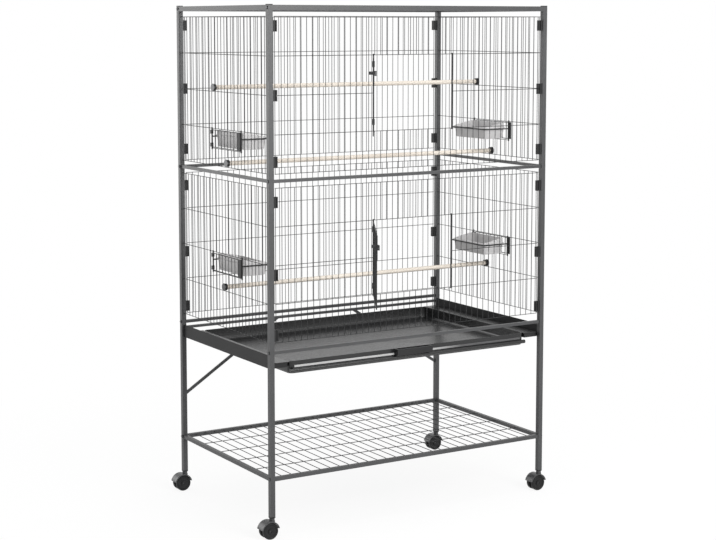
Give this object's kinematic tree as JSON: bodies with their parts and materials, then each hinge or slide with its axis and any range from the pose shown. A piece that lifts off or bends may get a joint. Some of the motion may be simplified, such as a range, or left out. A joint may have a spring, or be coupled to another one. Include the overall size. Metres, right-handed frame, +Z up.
{
  "type": "flight bird cage",
  "caption": "Tall wire flight cage on a rolling stand, with hinged front doors, feeder doors, cups, perches, a pull-out tray and a storage shelf",
  "frame": {"origin": "on the floor under the middle of the four posts", "axes": "+X right seen from the front, +Y from the front to the rear, +Z up"},
  "size_m": [0.894, 0.7346, 1.34],
  "materials": {
    "frame_coat": "satin powder coat",
    "base_coat": "matt powder coat",
    "wire_coat": "satin powder coat",
    "black_plastic": "moulded matte",
    "tray_plastic": "moulded gloss",
    "fastener_steel": "blackened",
    "cup_plastic": "moulded satin",
    "perch_wood": "bare",
    "caster_plastic": "moulded",
    "wheel_plastic": "moulded"
  },
  "bodies": {
    "frame": {"post_front_left": "frame_coat", "post_front_right": "frame_coat", "post_rear_left": "frame_coat", "post_rear_right": "frame_coat", "post_caps": "black_plastic", "top_rails": "frame_coat", "mid_rails": "frame_coat", "frame_bolts": "fastener_steel", "base_front_rail": "frame_coat", "base_rear_rail": "frame_coat", "rear_lower_rail": "frame_coat", "left_skirt": "base_coat", "right_skirt": "base_coat", "left_tray_runner": "black_plastic", "right_tray_runner": "black_plastic", "shelf_rails": "frame_coat", "shelf_mesh": "wire_coat", "rear_brace_left": "frame_coat", "rear_brace_right": "frame_coat", "front_upper_panel": "wire_coat", "front_lower_panel": "wire_coat", "rear_upper_panel": "wire_coat", "rear_lower_panel": "wire_coat", "left_upper_panel": "wire_coat", "left_lower_panel": "wire_coat", "right_upper_panel": "wire_coat", "right_lower_panel": "wire_coat", "top_panel": "wire_coat", "front_panel_clips": "black_plastic", "rear_panel_clips": "black_plastic", "cup_holders": "wire_coat", "high_perch": "perch_wood", "middle_perch": "perch_wood", "low_perch": "perch_wood", "perch_caps": "black_plastic", "perch_screws": "fastener_steel", "caster_sockets": "black_plastic"},
    "upper_door": {"upper_door": "wire_coat"},
    "upper_latch": {"upper_door_latch": "fastener_steel"},
    "lower_door": {"lower_door": "wire_coat"},
    "lower_latch": {"lower_door_latch": "fastener_steel"},
    "left_upper_feeder_door": {"left_upper_feeder_door": "wire_coat"},
    "left_lower_feeder_door": {"left_lower_feeder_door": "wire_coat"},
    "right_upper_feeder_door": {"right_upper_feeder_door": "wire_coat"},
    "right_lower_feeder_door": {"right_lower_feeder_door": "wire_coat"},
    "left_upper_cup": {"left_upper_cup": "cup_plastic"},
    "left_lower_cup": {"left_lower_cup": "cup_plastic"},
    "right_upper_cup": {"right_upper_cup": "cup_plastic"},
    "right_lower_cup": {"right_lower_cup": "cup_plastic"},
    "tray": {"tray": "tray_plastic", "tray_pull": "black_plastic"},
    "caster_front_left": {"caster_front_left": "caster_plastic"},
    "wheels_front_left": {"wheels_front_left": "wheel_plastic"},
    "caster_front_right": {"caster_front_right": "caster_plastic"},
    "wheels_front_right": {"wheels_front_right": "wheel_plastic"},
    "caster_rear_left": {"caster_rear_left": "caster_plastic"},
    "wheels_rear_left": {"wheels_rear_left": "wheel_plastic"},
    "caster_rear_right": {"caster_rear_right": "caster_plastic"},
    "wheels_rear_right": {"wheels_rear_right": "wheel_plastic"}
  },
  "joints": [
    {"name": "upper_door_hinge", "type": "hinge", "parent": "frame", "child": "upper_door", "pos_m": [-0.1215, -0.255, 1.11575], "axis": [0, 0, 1], "range_deg": [-43, 122]},
    {"name": "upper_latch_slide", "type": "slide", "parent": "upper_door", "child": "upper_latch", "axis": [-0.5299, -0.848, 0], "range_m": [0, 0.01]},
    {"name": "lower_door_hinge", "type": "hinge", "parent": "frame", "child": "lower_door", "pos_m": [-0.1215, -0.255, 0.69225], "axis": [0, 0, 1], "range_deg": [-45, 120]},
    {"name": "lower_latch_slide", "type": "slide", "parent": "lower_door", "child": "lower_latch", "axis": [-0.5, -0.866, 0], "range_m": [0, 0.01]},
    {"name": "left_upper_feeder_door_hinge", "type": "hinge", "parent": "frame", "child": "left_upper_feeder_door", "pos_m": [-0.422, 0.06443, 0.99262], "axis": [0, 0, -1], "range_deg": [0, 120]},
    {"name": "left_lower_feeder_door_hinge", "type": "hinge", "parent": "frame", "child": "left_lower_feeder_door", "pos_m": [-0.422, 0.06443, 0.66625], "axis": [0, 0, -1], "range_deg": [0, 120]},
    {"name": "right_upper_feeder_door_hinge", "type": "hinge", "parent": "frame", "child": "right_upper_feeder_door", "pos_m": [0.422, 0.06443, 0.99262], "axis": [0, 0, 1], "range_deg": [0, 120]},
    {"name": "right_lower_feeder_door_hinge", "type": "hinge", "parent": "frame", "child": "right_lower_feeder_door", "pos_m": [0.422, 0.06443, 0.66625], "axis": [0, 0, 1], "range_deg": [0, 120]},
    {"name": "left_upper_cup_lift", "type": "slide", "parent": "frame", "child": "left_upper_cup", "axis": [0, 0, 1], "range_m": [0, 0.06]},
    {"name": "left_lower_cup_lift", "type": "slide", "parent": "frame", "child": "left_lower_cup", "axis": [0, 0, 1], "range_m": [0, 0.06]},
    {"name": "right_upper_cup_lift", "type": "slide", "parent": "frame", "child": "right_upper_cup", "axis": [0, 0, 1], "range_m": [0, 0.06]},
    {"name": "right_lower_cup_lift", "type": "slide", "parent": "frame", "child": "right_lower_cup", "axis": [0, 0, 1], "range_m": [0, 0.06]},
    {"name": "tray_slide", "type": "slide", "parent": "frame", "child": "tray", "axis": [0, -1, 0], "range_m": [0, 0.43]},
    {"name": "front_left_swivel", "type": "hinge", "parent": "frame", "child": "caster_front_left", "pos_m": [-0.422, -0.255, 0.06], "axis": [0, 0, 1], "continuous": true},
    {"name": "front_left_roll", "type": "hinge", "parent": "caster_front_left", "child": "wheels_front_left", "pos_m": [-0.432, -0.255, 0.021], "axis": [0, 1, 0], "continuous": true},
    {"name": "front_right_swivel", "type": "hinge", "parent": "frame", "child": "caster_front_right", "pos_m": [0.422, -0.255, 0.06], "axis": [0, 0, 1], "continuous": true},
    {"name": "front_right_roll", "type": "hinge", "parent": "caster_front_right", "child": "wheels_front_right", "pos_m": [0.412, -0.255, 0.021], "axis": [0, 1, 0], "continuous": true},
    {"name": "rear_left_swivel", "type": "hinge", "parent": "frame", "child": "caster_rear_left", "pos_m": [-0.422, 0.255, 0.06], "axis": [0, 0, 1], "continuous": true},
    {"name": "rear_left_roll", "type": "hinge", "parent": "caster_rear_left", "child": "wheels_rear_left", "pos_m": [-0.432, 0.255, 0.021], "axis": [0, 1, 0], "continuous": true},
    {"name": "rear_right_swivel", "type": "hinge", "parent": "frame", "child": "caster_rear_right", "pos_m": [0.422, 0.255, 0.06], "axis": [0, 0, 1], "continuous": true},
    {"name": "rear_right_roll", "type": "hinge", "parent": "caster_rear_right", "child": "wheels_rear_right", "pos_m": [0.412, 0.255, 0.021], "axis": [0, 1, 0], "continuous": true}
  ]
}
